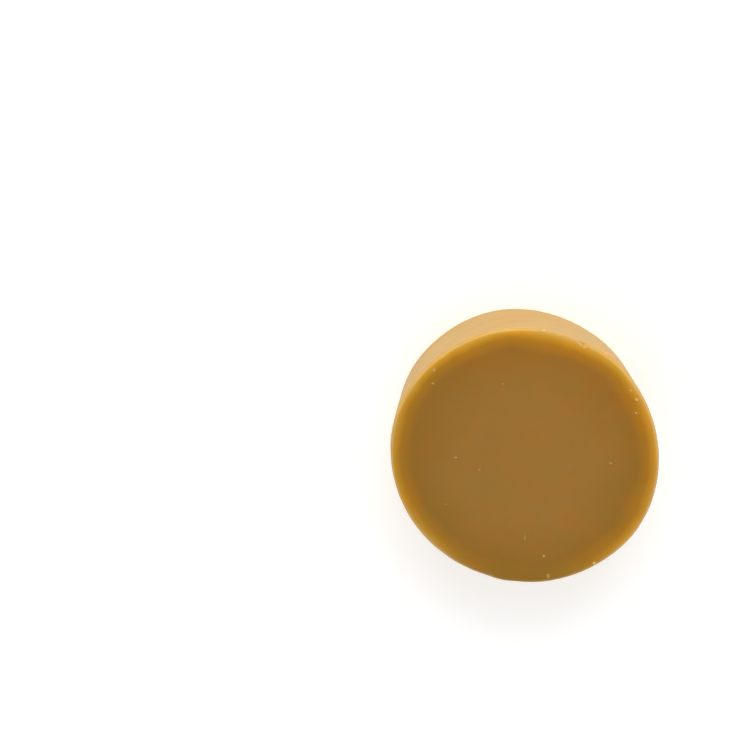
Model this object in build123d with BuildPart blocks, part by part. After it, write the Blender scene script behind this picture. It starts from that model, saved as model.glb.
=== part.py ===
from build123d import *
import os

# A puck of hard shaving soap: one cast disc that lies flat in a mug, bowl or dish.
# Millimetres. The origin is the centre of the underside, and +Z runs up the puck's axis to
# the open face that the brush works on.

# Driving sizes
puck_diameter = 75.0  # across the side wall, made to drop into a three-inch shaving mug
puck_thickness = 28.5  # from the underside to the open face
face_edge_radius = 1.1  # the round that handling gives the edge of the open face
base_edge_radius = 1.0  # the edge that lay in the mould stays a little crisper

# The cast disc: a round plan, carried up from the underside, with both rims rounded over
with BuildPart() as soap_puck:
    with BuildSketch(Plane.XY):
        Circle(puck_diameter / 2)
    extrude(amount=puck_thickness)
    rims = soap_puck.edges().filter_by(GeomType.CIRCLE).sort_by(Axis.Z)
    fillet(rims.last, radius=face_edge_radius)
    fillet(rims.first, radius=base_edge_radius)
soap_puck.part.label = "soap_puck"

os.makedirs("parts", exist_ok=True)
export_step(soap_puck.part, "parts/soap_puck.step")
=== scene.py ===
"""A puck of hard shaving soap, lying on a pale table in soft studio light.

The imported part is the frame. The script replaces its plain disc with the cast soap: out of
round by a fraction of a millimetre, worn along its rims, chipped in a few places and dusted with
a few crumbs. Lengths are in metres, or in millimetres where a comment says mm, and +Z runs up the
puck's axis to the open face.
"""

import math

import bpy
import numpy as np
from bpy.props import FloatProperty, FloatVectorProperty, IntProperty, PointerProperty
from bpy.types import Operator, Panel, PropertyGroup
from mathutils import Euler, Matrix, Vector


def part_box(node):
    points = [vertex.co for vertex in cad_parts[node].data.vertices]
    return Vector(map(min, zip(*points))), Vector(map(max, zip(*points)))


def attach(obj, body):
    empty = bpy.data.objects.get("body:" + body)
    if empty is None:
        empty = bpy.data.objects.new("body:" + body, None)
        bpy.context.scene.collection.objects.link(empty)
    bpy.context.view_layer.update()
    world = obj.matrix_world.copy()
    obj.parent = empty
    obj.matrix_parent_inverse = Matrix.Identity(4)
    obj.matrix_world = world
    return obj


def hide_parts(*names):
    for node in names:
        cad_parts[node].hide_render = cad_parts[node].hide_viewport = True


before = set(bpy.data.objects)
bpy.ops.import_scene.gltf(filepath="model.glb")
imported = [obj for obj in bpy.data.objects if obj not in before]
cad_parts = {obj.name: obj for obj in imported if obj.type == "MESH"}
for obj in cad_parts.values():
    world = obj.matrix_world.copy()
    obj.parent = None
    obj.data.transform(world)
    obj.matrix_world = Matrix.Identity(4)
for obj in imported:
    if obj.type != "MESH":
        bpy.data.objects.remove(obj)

bl_info = {
    "name": "Shaving Soap Puck",
    "version": (1, 0, 0),
    "blender": (4, 5, 0),
    "location": "View3D > Sidebar > Soap",
    "description": "Casts a puck of shaving soap and lights it on a pale table",
    "category": "Object",
}

CAD_NODE = "soap_puck"
BODY = "root"
MM = 0.001

CAD_LOW, CAD_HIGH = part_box(CAD_NODE)
RADIUS = (CAD_HIGH.x - CAD_LOW.x) / 2
THICKNESS = CAD_HIGH.z - CAD_LOW.z
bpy.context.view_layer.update()  # taken before any piece is added

# How the disc strays from a true circle: lobes round it, rise in mm, and where one peaks in degrees
OUT_OF_ROUND = ((2, 0.62, -50.5), (3, 0.09, 62.0), (5, 0.06, 40.0), (6, 0.09, 32.0))

# Where the open face's edge leans out past the wall below: degrees round, degrees to each side
# over which it dies away, and rise in mm
EDGE_SWELLS = ((53.0, 17.0, 0.50), (262.0, 9.0, 0.25))

# Chips out of the open face's edge: degrees round, mm in from the wall along the surface, mm
# across, mm deep
RIM_CHIPS = (
    (66.5, 1.2, 1.9, 0.34),
    (257.0, 1.5, 2.0, 0.28),
    (283.0, 2.1, 1.3, 0.16),
    (128.0, 1.1, 1.3, 0.15),
    (338.0, 1.0, 1.0, 0.14),
)

# How the rounds of the edges vary round the disc: waves, share, and phase in radians
WEAR_WAVES = ((3, 0.6, 0.6), (7, 0.4, 2.1))

LONG_WAVELENGTH = 30 * MM
SHORT_WAVELENGTH = 7 * MM
LONG_WAVE_SEED = 3
SHORT_WAVE_SEED = 4

# Rings of points over the open face, round each edge, down the wall and under the disc
FACE_RINGS = 40
EDGE_RINGS = 10
WALL_RINGS = 30
BASE_RINGS = 36
FACE_CROWDING = 1.25  # over 1, the open face's rings crowd towards its edge

CRUMB_HEIGHT = 0.25  # mm, of which half stands out of the face
CRUMB_SEED = 20  # the first crumb's, and each next crumb has the next number
LUMP_RINGS = 9
LUMP_STEPS = 14
LUMP_ROUGHNESS = 0.22
LUMP_WAVELENGTH = 1.3  # in widths of the lump

# Crumbs pressed into the open face: degrees round, mm in from the wall, mm long, mm wide, degrees
# that the long way is turned from +X, and how pale the crumb is, from 0 to 1
CRUMBS = (
    (67.8, 1.4, 1.3, 0.45, -30.0, 0.9),
    (64.6, 1.7, 0.9, 0.45, -25.0, 0.8),
    (83.6, 0.9, 0.9, 0.50, 0.0, 0.9),
    (31.5, 2.9, 1.1, 0.85, 140.0, 0.7),
    (36.5, 2.5, 0.7, 0.55, 60.0, 0.6),
    (25.6, 4.5, 0.7, 0.60, 0.0, 0.5),
    (134.8, 2.6, 1.2, 0.55, 80.0, 0.6),
    (139.8, 5.1, 0.7, 0.60, 0.0, 0.45),
    (106.3, 16.0, 0.7, 0.55, 0.0, 0.2),
    (180.2, 18.8, 1.1, 0.55, 5.0, 0.35),
    (195.8, 25.6, 0.7, 0.60, 0.0, 0.25),
    (213.7, 11.9, 0.7, 0.60, 0.0, 0.2),
    (273.3, 14.4, 1.7, 0.60, 85.0, 0.2),
    (283.5, 9.0, 0.8, 0.70, 0.0, 0.5),
    (283.6, 2.3, 1.6, 1.00, 110.0, 0.32),
    (304.8, 1.8, 1.1, 0.70, 30.0, 0.9),
    (359.5, 13.8, 1.0, 0.85, 30.0, 0.2),
    (160.3, 1.1, 0.9, 0.50, 75.0, 0.8),
)

# Where the wall's skin starts to give way to the faces' colours, and where it ends, in mm in from
# the wall
SKIN_EDGE = (0.1, 1.3)

# The painted highlight along each edge, in mm in from the wall: where it starts, is full, starts to
# fade and ends
EDGE_HIGHLIGHT_BAND = (-0.3, 0.3, 0.9, 1.7)

HEART_DEPTH = 20.0  # mm in from the wall, past which the faces' colour stays the same

# The painted light that shows through the edge, painted into the colour as glow and highlight: from one
# place along Y to another, in radii, it grows by this share of its full strength
PAINTED_EDGE_LIGHT = ((-1.02, -0.65, 0.64), (-0.20, 1.00, 0.36))

PAINTED_SHADE_SIDE = (-0.9, 0.2)  # along X in radii: where the painted shade on the face is darkest, and where it ends

# The table's side in metres, and how far it lies below the puck, so that the two stay apart
TABLE_SIDE = 4.0
TABLE_DROP = 0.01 * MM

# The soft lights: width and place in metres
KEY_LIGHT = (0.7, (0.0, 0.82, 0.40))
FILL_LIGHT = (0.6, (-0.25, -0.7, 0.6))

# The light tent, by a direction of length 1: along Y, from its wall in front to the others, and
# along Z, from its walls to its roof
TENT_FRONT = (-0.95, 0.2)
TENT_ROOF = (0.5, 0.95)


def linear(red, green, blue):
    """A screen colour, 0 to 255, as the linear colour that a shader takes.

    Formula: c / 12.92 below 0.04045, and ((c + 0.055) / 1.055) to the power 2.4 above it.
    """
    screen = np.array((red, green, blue)) / 255
    bright = ((screen + 0.055) / 1.055) ** 2.4
    return tuple(np.where(screen < 0.04045, screen / 12.92, bright).tolist())


def length(name, description, default):
    """A property that holds a length in metres."""
    return FloatProperty(
        name=name, description=description, default=default, min=0.0, precision=5,
        subtype="DISTANCE", unit="LENGTH",
    )


def share(name, description, default):
    """A property that holds a share from 0 to 1."""
    return FloatProperty(
        name=name, description=description, default=default, min=0.0, max=1.0, subtype="FACTOR"
    )


def colour(name, description, default):
    """A property that holds a linear colour."""
    return FloatVectorProperty(
        name=name, description=description, default=default, size=3, min=0.0, max=1.0,
        subtype="COLOR",
    )


class SoapShape(PropertyGroup):
    """Sizes of the cast disc."""

    face_edge: length("Face edge", "Round of the open face's edge", 1.1 * MM)
    base_edge: length("Base edge", "Round of the underside's edge", 1.0 * MM)
    edge_wear: share("Edge wear", "How much the rounds of the edges vary", 0.22)
    face_hollow: length("Face hollow", "How far the open face sinks at its middle", 0.15 * MM)
    base_hollow: length("Base hollow", "How far the underside rises at its middle", 0.25 * MM)
    long_wave: length("Long waves", "Height of the cast surface's long waves", 0.06 * MM)
    short_wave: length("Short waves", "Height of the cast surface's short waves", 0.015 * MM)
    steps: IntProperty(name="Steps", description="Steps round the disc", default=640, min=64)


class SoapFinish(PropertyGroup):
    """Colours, gloss and translucency of the soap."""

    wall: colour("Wall", "Dry, pale skin of the side wall", linear(173, 139, 82))
    # Straw, amber and honey are painted glow of light through the lit edge; shade is painted shade by
    # the unlit edge.
    straw_glow: colour("Straw", "Where the wall's skin thins out over the edge", linear(204, 165, 79))
    amber: colour("Amber", "Soap that the light through the edge brightens", linear(204, 149, 37))
    honey: colour("Honey", "Deeper soap, where that light dies away", linear(178, 121, 25))
    shade: colour("Shade", "The face near the edge, where no light comes through", linear(141, 103, 30))
    face: colour("Face", "Body colour of the open face", linear(153, 107, 37))
    heart: colour("Heart", "The open face's middle", linear(156, 113, 48))
    crumb: colour("Crumbs", "Dried crumbs", linear(222, 184, 104))
    face_roughness: share("Face roughness", "Roughness of the two faces", 0.42)
    wall_roughness: share("Wall roughness", "Roughness of the side wall", 0.62)
    translucency: share("Translucency", "Share of the light that scatters in the soap", 0.55)
    light_depth: length("Light depth", "How far red light travels inside the soap", 3.0 * MM)


class SoapStage(PropertyGroup):
    """Table, lights and camera."""

    table: colour("Table", "Colour of the table", (0.97, 0.97, 0.965))
    table_glow: FloatProperty(
        name="Table glow", description="Light that comes up through the table", default=0.17, min=0.0
    )
    surround: FloatProperty(
        name="Surround", description="Brightness of the light tent's walls", default=1.6, min=0.0
    )
    roof: FloatProperty(
        name="Roof", description="Brightness of the tent's dim roof", default=0.03, min=0.0
    )
    front: FloatProperty(
        name="Front", description="Brightness of the tent's wall in front", default=1.3, min=0.0
    )
    key: FloatProperty(
        name="Key light", description="Power of the large light behind the puck",
        default=4.2, min=0.0, subtype="POWER", unit="POWER",
    )
    fill: FloatProperty(
        name="Fill light", description="Power of the weak light from the front",
        default=1.0, min=0.0, subtype="POWER", unit="POWER",
    )
    tilt: FloatProperty(
        name="Tilt", description="How far the camera tips from straight down, below zero to -Y",
        default=math.radians(-14.06), subtype="ANGLE", unit="ROTATION",
    )
    turn: FloatProperty(
        name="Turn", description="How far the tipped camera turns about the Y axis",
        default=math.radians(5.75), subtype="ANGLE", unit="ROTATION",
    )
    distance: length("Distance", "From the camera to the open face, along its view", 266.0 * MM)
    aside: length("Aside", "How far the puck stands right of the camera's axis", 43.38 * MM)
    below: length("Below", "How far the puck stands below the camera's axis", 25.59 * MM)
    focal_length: FloatProperty(
        name="Focal length", description="Lens of the camera, in millimetres",
        default=46.40, min=1.0, subtype="DISTANCE_CAMERA",
    )


# ---------------------------------------------------------------------------------------------
# Surfaces


def rolling_waves(points, wavelength, seed, count=24):
    """Smooth noise of unit spread at points, an array whose last axis holds x, y and z.

    Formula: the sum of count cosines of (wave vector . point + phase), divided by the root of
    half of count. The directions and phases are drawn at random from the seed, and the lengths
    lie within about a third of wavelength.
    """
    draw = np.random.default_rng(seed)
    directions = draw.normal(size=(count, 3))
    directions /= np.linalg.norm(directions, axis=1, keepdims=True)
    lengths = wavelength * draw.uniform(0.75, 1.35, size=(count, 1))
    phases = draw.uniform(0, 2 * math.pi, size=count)
    vectors = directions * 2 * math.pi / lengths
    return np.cos(points @ vectors.T + phases).sum(axis=-1) / math.sqrt(count / 2)


def disc_profile(face_edge, base_edge):
    """The disc's profile, from the open face's middle over its edge, down the wall and under.

    face_edge and base_edge hold the round of each edge for every step round the disc. Returns
    the radius, the height, the distance along the surface, and the outward normal's radial and
    upright parts, each of rings by steps. Formula: on a flat, the radius grows in proportion and
    the height stays; on an edge, radius and height follow the sine and cosine of the angle
    turned; on the wall, only the height changes. The distance is 0 where the wall meets the open
    face's edge, positive over the face and negative down.
    """
    quarter = math.pi / 2
    across = (1 - (1 - np.linspace(0, 1, FACE_RINGS + 2)[1:-1]) ** FACE_CROWDING)[:, None]
    turned = np.linspace(0, quarter, EDGE_RINGS + 1)[:-1, None]
    down = np.linspace(0, 1, WALL_RINGS + 1)[:-1, None]
    under = np.linspace(0, 1, BASE_RINGS + 2)[1:-1, None]
    face_arc = quarter * face_edge
    wall = THICKNESS - face_edge - base_edge
    base_arc = quarter * base_edge
    sections = (
        (
            across * (RADIUS - face_edge),
            THICKNESS,
            face_arc + (1 - across) * (RADIUS - face_edge),
            0.0,
            1.0,
        ),
        (
            RADIUS - face_edge * (1 - np.sin(turned)),
            THICKNESS - face_edge * (1 - np.cos(turned)),
            (quarter - turned) * face_edge,
            np.sin(turned),
            np.cos(turned),
        ),
        (
            RADIUS,
            THICKNESS - face_edge - down * wall,
            -down * wall,
            1.0,
            0.0,
        ),
        (
            RADIUS - base_edge * (1 - np.cos(turned)),
            base_edge * (1 - np.sin(turned)),
            -wall - turned * base_edge,
            np.cos(turned),
            -np.sin(turned),
        ),
        (
            (1 - under) * (RADIUS - base_edge),
            0.0,
            -wall - base_arc - under * (RADIUS - base_edge),
            0.0,
            -1.0,
        ),
    )
    rings = [np.broadcast_arrays(*section) for section in sections]
    return [np.concatenate(part) for part in zip(*rings)]


def turn_from(degrees, angle):
    """The turn from a place in degrees to each angle in radians, at most half a turn each way."""
    return np.angle(np.exp(1j * (angle - math.radians(degrees))))


def dip(distance, width):
    """A round dip of depth 1 with a crisp lip: (1 - (2 distance / width) squared) to the 1.5."""
    return np.clip(1 - (2 * distance / width) ** 2, 0, 1) ** 1.5


def disc_surface(shape):
    """The cast disc: points and normals of rings by steps by 3, distance along it and rim depth.

    Formula: the profile, whose rounds vary by a sum of sines, is carried round the axis. Its
    radius is stretched by one plus the sum of rise / radius times cos(lobes (angle - peak)). Each
    swell adds its rise, which dies away round the disc as a cosine squared, down the wall as the
    height squared, and towards the middle as the radius to the fourth. The surface then moves
    along its normal by the hollows, which fall off as one minus the squared share of the radius,
    by two rolling waves, and inwards by a dip at each chip. No point's height goes below 0. The
    rim depth is the distance in from the wall over the nearer edge, and is negative on the wall.
    """
    angle = np.linspace(0, 2 * math.pi, shape.steps, endpoint=False)
    wear = sum(part * np.sin(waves * angle + phase) for waves, part, phase in WEAR_WAVES)
    face_edge = shape.face_edge * (1 + shape.edge_wear * wear)
    base_edge = shape.base_edge * (1 - shape.edge_wear * wear[::-1])
    radius, height, along, out, up = disc_profile(face_edge, base_edge)
    stretch = 1 + sum(
        rise * MM / RADIUS * np.cos(lobes * (angle - math.radians(peak)))
        for lobes, rise, peak in OUT_OF_ROUND
    )
    radius = radius * stretch
    for degrees, spread, swell in EDGE_SWELLS:
        turn = turn_from(degrees, angle) / math.radians(spread)
        fade = np.cos(np.clip(turn, -1, 1) * math.pi / 2) ** 2
        radius = radius + swell * MM * fade * (radius / RADIUS) ** 4 * (height / THICKNESS) ** 2

    round_x, round_y = np.cos(angle), np.sin(angle)
    points = np.stack([radius * round_x, radius * round_y, height], axis=-1)
    normals = np.stack([out * round_x, out * round_y, up], axis=-1)

    middle = np.clip(1 - (radius / RADIUS) ** 2, 0, 1)
    hollow = np.where(up > 0, shape.face_hollow, shape.base_hollow)
    rise = -np.abs(up) * middle * hollow
    rise = rise + shape.long_wave * rolling_waves(points, LONG_WAVELENGTH, LONG_WAVE_SEED)
    rise = rise + shape.short_wave * rolling_waves(points, SHORT_WAVELENGTH, SHORT_WAVE_SEED)
    for degrees, inset, width, depth in RIM_CHIPS:
        distance = np.hypot(turn_from(degrees, angle) * RADIUS, along - inset * MM)
        rise = rise - depth * MM * dip(distance, width * MM)
    points = points + normals * rise[..., None]
    points[..., 2] = np.maximum(points[..., 2], 0.0)

    wall = THICKNESS - face_edge - base_edge
    rim_depth = np.where(along > -wall / 2, along, -wall - along)
    return points, normals, along, rim_depth


def lump_surface(seed):
    """A small rough lump about the origin, one unit across, as rows by columns by 3 points.

    Formula: a sphere of radius 0.5 by latitude, from the upper pole down, and longitude, times
    one plus a share of a rolling wave.
    """
    latitude = np.linspace(-math.pi / 2, math.pi / 2, LUMP_RINGS)[::-1, None]
    longitude = np.linspace(0, 2 * math.pi, LUMP_STEPS, endpoint=False)
    ball = np.stack(
        [
            np.cos(latitude) * np.cos(longitude),
            np.cos(latitude) * np.sin(longitude),
            np.sin(latitude) + 0 * longitude,
        ],
        axis=-1,
    )
    rough = 1 + LUMP_ROUGHNESS * rolling_waves(ball, LUMP_WAVELENGTH, seed)
    return 0.5 * ball * rough[..., None]


def seated_lump(seat, up, long, wide, turned, seed):
    """A lump half sunk in the surface at seat, where up is the surface's normal.

    Formula: the rough lump, times long along the surface at turned degrees from +X, times wide
    across that and times CRUMB_HEIGHT along up, moved to seat.
    """
    turn = math.radians(turned)
    side = np.cross((-math.sin(turn), math.cos(turn), 0), up)
    side /= np.linalg.norm(side)
    scaled_axes = np.stack([side * long, np.cross(up, side) * wide, up * CRUMB_HEIGHT]) * MM
    return lump_surface(seed) @ scaled_axes + seat


def ring_faces(rings, steps, offset=0):
    """Faces of a closed shell of a first pole, rings by steps points and a last pole.

    They point outwards where the rings run from the top down and the steps counter-clockwise as
    seen from the top. offset is the first pole's number.
    """
    ring = np.arange(rings - 1)[:, None] * steps + 1 + offset
    step = np.arange(steps)
    after = (step + 1) % steps
    quads = np.stack([ring + step, ring + steps + step, ring + steps + after, ring + after], -1)
    first = np.stack([0 * step + offset, 1 + offset + step, 1 + offset + after], -1)
    last_ring = 1 + offset + (rings - 1) * steps
    end = last_ring + steps
    last = np.stack([last_ring + after, last_ring + step, 0 * step + end], -1)
    return first.tolist() + quads.reshape(-1, 4).tolist() + last.tolist()


def shell_points(rings, first, last):
    """A closed shell's points in one list: the first pole, the rings and the last pole."""
    return np.concatenate([[first], rings.reshape(-1, 3), [last]])


def mesh_object(name, points, faces, material):
    """A smooth-shaded object at the origin, made of points and faces."""
    mesh = bpy.data.meshes.new(name)
    mesh.from_pydata(points.tolist(), [], faces)
    mesh.validate()
    mesh.shade_smooth()
    mesh.materials.append(material)
    piece = bpy.data.objects.new(name, mesh)
    bpy.context.scene.collection.objects.link(piece)
    return piece


def store_value(piece, name, values):
    """An attribute of the piece that holds one value for every point."""
    store = piece.data.attributes.new(name, "FLOAT", "POINT")
    store.data.foreach_set("value", np.asarray(values, dtype=np.float32))


def stand_for_puck(piece):
    """The piece rides on the part's body and hides the plain disc."""
    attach(piece, BODY)
    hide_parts(CAD_NODE)


# ---------------------------------------------------------------------------------------------
# Materials


class Nodes:
    """The node tree of a new material or world, with short calls to add and join nodes."""

    def __init__(self, owner):
        self.owner = owner
        self.owner.use_nodes = True
        self.tree = self.owner.node_tree
        self.tree.nodes.clear()

    def add(self, kind, inputs=None, **settings):
        """A node of that kind. A value in inputs is set on its socket, and a socket is joined."""
        node = self.tree.nodes.new("ShaderNode" + kind)
        for key, value in settings.items():
            setattr(node, key, value)
        for key, value in (inputs or {}).items():
            if isinstance(value, bpy.types.NodeSocket):
                self.tree.links.new(value, node.inputs[key])
            else:
                node.inputs[key].default_value = value
        return node

    def noise(self, place, scale, detail=2.0, roughness=0.5):
        """A noise pattern's value, 0 to 1. The scale is in waves a metre."""
        inputs = {"Vector": place, "Scale": scale, "Detail": detail, "Roughness": roughness}
        return self.add("TexNoise", inputs).outputs["Fac"]

    def stretch(self, place, scale):
        """The place, stretched by scale along x, y and z."""
        return self.add("Mapping", {"Vector": place, "Scale": scale}).outputs["Vector"]

    def between(self, value, low, high, to_low=0.0, to_high=1.0):
        """The value, carried smoothly from low..high to to_low..to_high."""
        inputs = {
            "Value": value, "From Min": low, "From Max": high, "To Min": to_low, "To Max": to_high
        }
        return self.add("MapRange", inputs, interpolation_type="SMOOTHSTEP").outputs["Result"]

    def math(self, operation, first, second):
        """The result of a sum, difference, product or quotient of two values."""
        return self.add("Math", {0: first, 1: second}, operation=operation).outputs["Value"]

    def mix(self, factor, first, second, blend="MIX"):
        """Two colours mixed by factor.

        A colour mix has its factor on socket 0, its colours on 6 and 7 and its result on output 2.
        """
        first, second = (
            value if isinstance(value, bpy.types.NodeSocket) else (*value, 1.0)
            for value in (first, second)
        )
        inputs = {0: factor, 6: first, 7: second}
        return self.add("Mix", inputs, data_type="RGBA", blend_type=blend).outputs[2]

    def tint(self, factor, base, times):
        """The base colour, multiplied by the colour times as far as factor says."""
        return self.mix(factor, base, times, "MULTIPLY")

    def ramp(self, value, stops):
        """A colour ramp with stops of position and colour."""
        node = self.add("ValToRGB", {"Fac": value})
        elements = node.color_ramp.elements
        while len(elements) < len(stops):
            elements.new(1.0)
        for element, (position, stop_colour) in zip(elements, stops):
            element.position = position
            element.color = (*stop_colour, 1.0)
        return node.outputs["Color"]

    def surface(self, inputs):
        """The finished surface: one Principled shader, joined to the output."""
        shader = self.add("BsdfPrincipled", inputs)
        output = self.add("OutputMaterial")
        self.tree.links.new(shader.outputs["BSDF"], output.inputs["Surface"])
        return self.owner


def painted_edge_light(nodes, place):
    """How much painted light shows through the edge: none at the disc's -Y side and all at its +Y side.
    """
    along_y = nodes.add("SeparateXYZ", {"Vector": place}).outputs["Y"]
    gains = (
        nodes.between(along_y, start * RADIUS, end * RADIUS, 0.0, gain)
        for start, end, gain in PAINTED_EDGE_LIGHT
    )
    return nodes.math("ADD", *gains)


def by_depth(*stops):
    """A ramp's stops of share and colour, from stops of mm in from the wall and colour."""
    return [(depth / HEART_DEPTH, tone) for depth, tone in stops]


def face_colour(nodes, finish, place, rim_depth, lit):
    """The faces' colour: a painted glow, amber to about 7 mm in, where the edge is lit, painted shade
    where it isn't, and then a mottled olive-brown with a little painted shade on its -X side."""
    # The bands of colour wander in and out by about an eighth.
    wander = nodes.between(nodes.noise(place, 90.0), 0.2, 0.8, 0.88, 1.14)
    depth = nodes.math("MULTIPLY", rim_depth, wander)
    share_in = nodes.math("DIVIDE", depth, HEART_DEPTH * MM)
    # Painted light: the glow ramp paints light through the lit edge, the shade ramp paints shade by the
    # unlit one.
    glow = nodes.ramp(
        share_in,
        by_depth(
            (0.7, finish.wall),
            (1.3, finish.straw_glow),
            (2.3, finish.amber),
            (3.8, finish.honey),
            (7.0, finish.face),
            (HEART_DEPTH, finish.heart),
        ),
    )
    shade = nodes.ramp(
        share_in,
        by_depth(
            (0.8, finish.wall),
            (1.7, finish.shade),
            (7.0, finish.shade),
            (HEART_DEPTH, finish.heart),
        ),
    )
    body = nodes.mix(lit, shade, glow)

    patches = nodes.between(nodes.noise(place, 160.0, 3.0), 0.42, 0.62)
    russet = nodes.tint(patches, body, (1.06, 0.99, 0.93))
    clouds = nodes.noise(nodes.stretch(place, (1.0, 1.4, 1.0)), 70.0, 4.0)
    olive = nodes.tint(nodes.between(clouds, 0.40, 0.62), russet, (0.96, 1.01, 1.02))

    # Painted shade: the face grows a little darker towards -X.
    along_x = nodes.add("SeparateXYZ", {"Vector": place}).outputs["X"]
    dullest, clear = PAINTED_SHADE_SIDE
    painted_shade = nodes.between(along_x, dullest * RADIUS, clear * RADIUS, 1.0, 0.0)
    return nodes.tint(painted_shade, olive, (0.94, 0.96, 0.96))


def wall_colour(nodes, finish, place):
    """The wall's dry skin, with warm blotches and streaks that are drawn out round the disc."""
    blotch = nodes.noise(nodes.stretch(place, (1.0, 1.0, 2.4)), 110.0, 3.0)
    streak = nodes.noise(nodes.stretch(place, (1.0, 1.0, 14.0)), 60.0, 3.0)
    warm = nodes.tint(nodes.between(blotch, 0.42, 0.66), finish.wall, (1.05, 0.93, 0.86))
    return nodes.tint(nodes.between(streak, 0.35, 0.65, 0.0, 0.7), warm, (0.93, 0.94, 0.92))


def painted_edge_highlight(nodes, rim_depth):
    """How much painted highlight an edge has, from 0 to 1: most along its outer turn."""
    starts, full, fades, ends = (depth * MM for depth in EDGE_HIGHLIGHT_BAND)
    rise = nodes.between(rim_depth, starts, full)
    fall = nodes.between(rim_depth, fades, ends, 1.0, 0.0)
    return nodes.math("MULTIPLY", rise, fall)


def soap_material(finish):
    """Cast soap: a dry pale skin on the wall, a painted amber glow at the lit rim, a painted highlight
    along the lit edges, and a mottled olive-brown face with painted shade to one side and a faintly
    uneven satin gloss."""
    nodes = Nodes(bpy.data.materials.new("cast_soap"))
    place = nodes.add("TexCoord").outputs["Object"]
    rim_depth = nodes.add("Attribute", attribute_name="rim_depth").outputs["Fac"]
    skin_gives, skin_ends = SKIN_EDGE
    on_wall = nodes.between(rim_depth, skin_gives * MM, skin_ends * MM, 1.0, 0.0)

    # Painted light: where an edge is lit, a painted highlight along it is a little paler than the wall.
    lit = painted_edge_light(nodes, place)
    face = face_colour(nodes, finish, place, rim_depth, lit)
    body = nodes.mix(on_wall, face, wall_colour(nodes, finish, place))
    highlight_share = nodes.math("MULTIPLY", painted_edge_highlight(nodes, rim_depth), lit)
    body = nodes.tint(highlight_share, body, (1.16, 1.18, 1.20))

    # A fine grain lies all over.
    grain = nodes.between(nodes.noise(place, 1400.0, 2.0), 0.3, 0.7, 0.0, 0.10)
    body = nodes.tint(grain, body, (0.86, 0.86, 0.86))

    # The gloss wavers a little in bands that lie along X, and the wall is drier.
    bands = nodes.noise(nodes.stretch(place, (1.0, 1.8, 1.0)), 90.0, 3.0)
    glossiest, dullest = finish.face_roughness - 0.03, finish.face_roughness + 0.04
    satin = nodes.between(bands, 0.25, 0.75, glossiest, dullest)
    dry = nodes.math("MULTIPLY", on_wall, finish.wall_roughness - finish.face_roughness)

    # A cast skin is pebbled, and the mould has drawn lines down the wall.
    pebble = nodes.noise(place, 1100.0, 3.0)
    drawn = nodes.noise(nodes.stretch(place, (1.0, 1.0, 0.05)), 1500.0, 2.0)
    relief = nodes.math("ADD", pebble, nodes.math("MULTIPLY", on_wall, drawn))
    bump = nodes.add("Bump", {"Height": relief, "Strength": 0.35, "Distance": 0.06 * MM})

    return nodes.surface(
        {
            "Base Color": body,
            "Roughness": nodes.math("ADD", satin, dry),
            "Normal": bump.outputs["Normal"],
            "IOR": 1.47,
            "Specular IOR Level": 0.22,
            "Subsurface Weight": finish.translucency,
            "Subsurface Radius": (1.0, 0.42, 0.12),
            "Subsurface Scale": finish.light_depth,
        }
    )


def crumb_material(finish):
    """Dried crumbs: each between the face's colour and a dry pale one, rough and finely grained."""
    nodes = Nodes(bpy.data.materials.new("dried_crumbs"))
    place = nodes.add("TexCoord").outputs["Object"]
    paleness = nodes.add("Attribute", attribute_name="paleness").outputs["Fac"]
    grain = nodes.between(nodes.noise(place, 2600.0, 2.0), 0.3, 0.7)
    body = nodes.mix(paleness, finish.face, finish.crumb)
    body = nodes.tint(grain, body, (0.93, 0.88, 0.8))
    bump = nodes.add("Bump", {"Height": grain, "Strength": 0.5, "Distance": 0.05 * MM})
    return nodes.surface(
        {
            "Base Color": body,
            "Roughness": 0.7,
            "Normal": bump.outputs["Normal"],
            "Subsurface Weight": finish.translucency,
            "Subsurface Radius": (1.0, 0.5, 0.2),
            "Subsurface Scale": 0.3 * MM,
        }
    )


def table_material(stage):
    """A plain pale table top, very slightly clouded, with a little light of its own."""
    nodes = Nodes(bpy.data.materials.new("pale_table"))
    place = nodes.add("TexCoord").outputs["Object"]
    cloud = nodes.between(nodes.noise(place, 6.0), 0.3, 0.7)
    body = nodes.tint(cloud, stage.table, (0.99, 0.99, 0.985))
    return nodes.surface(
        {
            "Base Color": body,
            "Roughness": 0.8,
            "Emission Color": (1.0, 1.0, 1.0, 1.0),
            "Emission Strength": stage.table_glow,
        }
    )


# ---------------------------------------------------------------------------------------------
# Operators


class SOAP_OT_cast_disc(Operator):
    """Casts the disc of soap"""

    bl_idname = "soap.cast_disc"
    bl_label = "Cast the Disc"

    def execute(self, context):
        points, _, _, rim_depth = disc_surface(context.scene.soap_shape)
        rings, steps = rim_depth.shape
        top, bottom = points[0].mean(axis=0), points[-1].mean(axis=0)
        shell = shell_points(points, top, bottom)
        material = soap_material(context.scene.soap_finish)
        puck = mesh_object("cast_puck", shell, ring_faces(rings, steps), material)
        depths = np.concatenate([[rim_depth[0].mean()], rim_depth.ravel(), [rim_depth[-1].mean()]])
        store_value(puck, "rim_depth", depths)
        stand_for_puck(puck)
        return {"FINISHED"}


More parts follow.
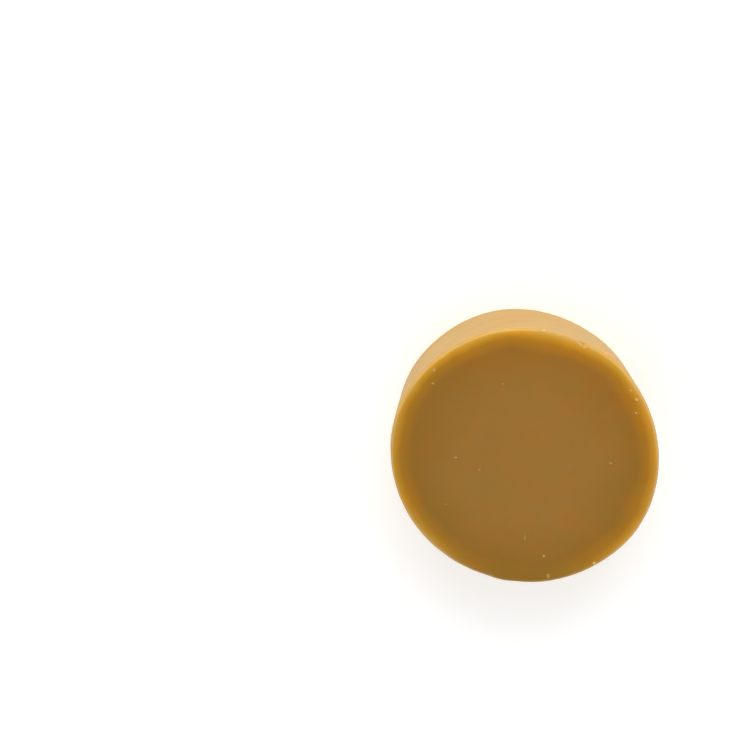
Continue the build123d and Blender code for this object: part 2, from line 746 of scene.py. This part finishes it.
class SOAP_OT_scatter_crumbs(Operator):
    """Presses the dried crumbs into the open face"""

    bl_idname = "soap.scatter_crumbs"
    bl_label = "Scatter the Crumbs"

    def execute(self, context):
        points, normals, along, _ = disc_surface(context.scene.soap_shape)
        steps = along.shape[1]
        shells, faces, paleness, count = [], [], [], 0
        for number, (degrees, inset, long, wide, turned, pale) in enumerate(CRUMBS):
            step = round(degrees / 360 * steps) % steps
            ring = int(np.abs(along[:, step] - inset * MM).argmin())
            seat, up = points[ring, step], normals[ring, step]
            lump = seated_lump(seat, up, long, wide, turned, CRUMB_SEED + number)
            poles = lump[0].mean(axis=0), lump[-1].mean(axis=0)
            shells.append(shell_points(lump[1:-1], *poles))
            faces += ring_faces(lump.shape[0] - 2, lump.shape[1], count)
            paleness += [pale] * len(shells[-1])
            count += len(shells[-1])
        material = crumb_material(context.scene.soap_finish)
        crumbs = mesh_object("soap_crumbs", np.concatenate(shells), faces, material)
        store_value(crumbs, "paleness", paleness)
        stand_for_puck(crumbs)
        return {"FINISHED"}


class SOAP_OT_set_stage(Operator):
    """Lays the table and sets the lights and the camera"""

    bl_idname = "soap.set_stage"
    bl_label = "Set the Stage"

    def execute(self, context):
        stage = context.scene.soap_stage
        corners = TABLE_SIDE / 2 * np.array([(-1, -1, 0), (1, -1, 0), (1, 1, 0), (-1, 1, 0)])
        corners[:, 2] = -TABLE_DROP
        table = mesh_object("pale_table_top", corners, [(0, 1, 2, 3)], table_material(stage))

        context.scene.world = light_tent(stage)
        context.scene.view_settings.view_transform = "Standard"

        soft_light("key_light", stage.key, *KEY_LIGHT)
        soft_light("fill_light", stage.fill, *FILL_LIGHT)

        turn = Euler((stage.tilt, stage.turn, 0.0)).to_matrix()
        face_middle = Vector((0.0, 0.0, THICKNESS))
        camera_data = bpy.data.cameras.new("camera")
        camera_data.lens = stage.focal_length
        camera_data.clip_start = 0.01
        camera = bpy.data.objects.new("camera", camera_data)
        camera.rotation_euler = turn.to_euler()
        camera.location = face_middle - turn @ Vector((stage.aside, -stage.below, -stage.distance))
        context.scene.collection.objects.link(camera)
        context.scene.camera = camera
        return {"FINISHED"}


def light_tent(stage):
    """A world that glows white all round, a little less bright in front, and is dim overhead."""
    nodes = Nodes(bpy.data.worlds.new("light_tent"))
    direction = nodes.add("TexCoord").outputs["Generated"]
    along = nodes.add("SeparateXYZ", {"Vector": direction}).outputs
    wall_light = nodes.between(along["Y"], *TENT_FRONT, stage.front, stage.surround)
    overhead = nodes.between(along["Z"], *TENT_ROOF)
    walls = nodes.math("MULTIPLY", wall_light, nodes.math("SUBTRACT", 1.0, overhead))
    roof = nodes.math("MULTIPLY", overhead, stage.roof)
    strength = nodes.math("ADD", walls, roof)
    background = nodes.add("Background", {"Color": (1.0, 1.0, 1.0, 1.0), "Strength": strength})
    output = nodes.add("OutputWorld")
    nodes.tree.links.new(background.outputs["Background"], output.inputs["Surface"])
    return nodes.owner


def soft_light(name, power, width, place):
    """A square soft light of that width at place, turned to the puck."""
    data = bpy.data.lights.new(name, "AREA")
    data.energy = power
    data.size = width
    light = bpy.data.objects.new(name, data)
    light.location = place
    light.rotation_euler = Vector(place).to_track_quat("Z", "Y").to_euler()
    light.visible_camera = False
    bpy.context.scene.collection.objects.link(light)


class SOAP_PT_panel(Panel):
    """Lists the steps that build the puck, with their sizes and colours"""

    bl_idname = "SOAP_PT_panel"
    bl_label = "Shaving Soap Puck"
    bl_space_type = "VIEW_3D"
    bl_region_type = "UI"
    bl_category = "Soap"

    def draw(self, context):
        parts = (
            (context.scene.soap_shape, ("soap.cast_disc", "soap.scatter_crumbs")),
            (context.scene.soap_finish, ()),
            (context.scene.soap_stage, ("soap.set_stage",)),
        )
        for group, operators in parts:
            box = self.layout.box()
            for name in group.bl_rna.properties.keys():
                if name not in {"rna_type", "name"}:
                    box.prop(group, name)
            for operator in operators:
                box.operator(operator)


CLASSES = (
    SoapShape,
    SoapFinish,
    SoapStage,
    SOAP_OT_cast_disc,
    SOAP_OT_scatter_crumbs,
    SOAP_OT_set_stage,
    SOAP_PT_panel,
)


def register():
    for cls in CLASSES:
        bpy.utils.register_class(cls)
    bpy.types.Scene.soap_shape = PointerProperty(type=SoapShape)
    bpy.types.Scene.soap_finish = PointerProperty(type=SoapFinish)
    bpy.types.Scene.soap_stage = PointerProperty(type=SoapStage)


def unregister():
    del bpy.types.Scene.soap_stage
    del bpy.types.Scene.soap_finish
    del bpy.types.Scene.soap_shape
    for cls in reversed(CLASSES):
        bpy.utils.unregister_class(cls)


def main():
    """Builds the puck and its stage."""
    register()
    bpy.ops.soap.cast_disc()
    bpy.ops.soap.scatter_crumbs()
    bpy.ops.soap.set_stage()


if __name__ == "__main__":
    main()
